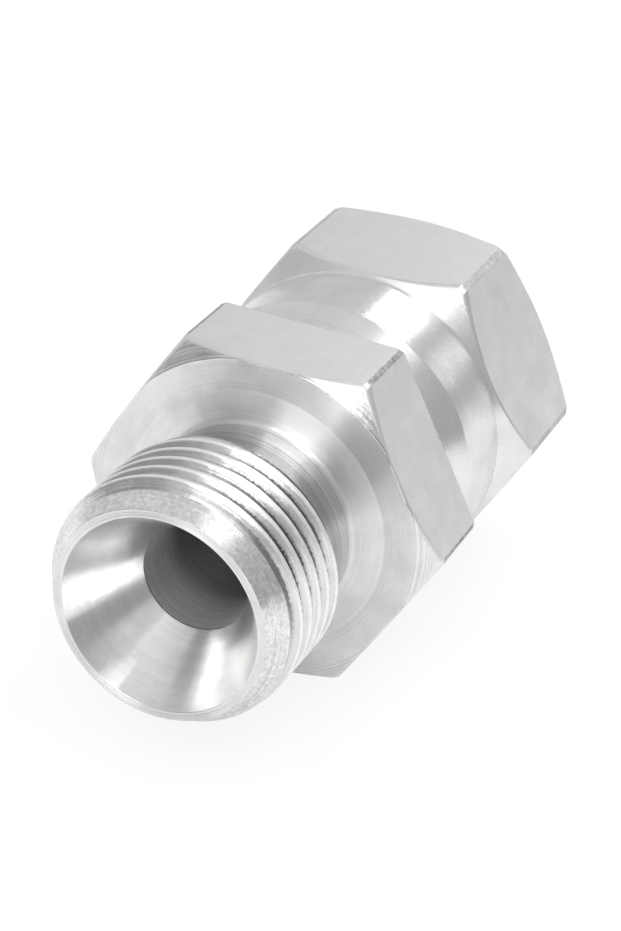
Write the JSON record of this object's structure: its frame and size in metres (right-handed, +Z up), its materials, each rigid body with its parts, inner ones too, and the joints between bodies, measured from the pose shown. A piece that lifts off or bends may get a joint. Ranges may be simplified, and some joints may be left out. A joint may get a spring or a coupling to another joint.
{
  "type": "threaded pipe adapter with swivel nut",
  "caption": "Straight pipe adapter: male threaded stub with inner sealing cone, neck and hexagon, and a captive hexagonal swivel nut on its other end.",
  "frame": {"origin": "on the surface the adapter lies on, under the middle of its length", "axes": "+X along the pipe axis towards the swivel nut, +Z up, the axis 11 mm above the surface"},
  "size_m": [0.0408, 0.0252, 0.022],
  "materials": {
    "zinc_plate_body": "bright zinc plating over turned steel, satin flats, fine turning lines",
    "zinc_plate_nut": "bright zinc plating, glossy turned collar, satin flats"
  },
  "bodies": {
    "body": {"adapter_body": "zinc_plate_body"},
    "nut": {"swivel_nut": "zinc_plate_nut"}
  },
  "joints": [
    {"name": "nut_swivel", "type": "hinge", "parent": "body", "child": "nut", "pos_m": [0.006, 0, 0.011], "axis": [1, 0, 0], "continuous": true}
  ]
}
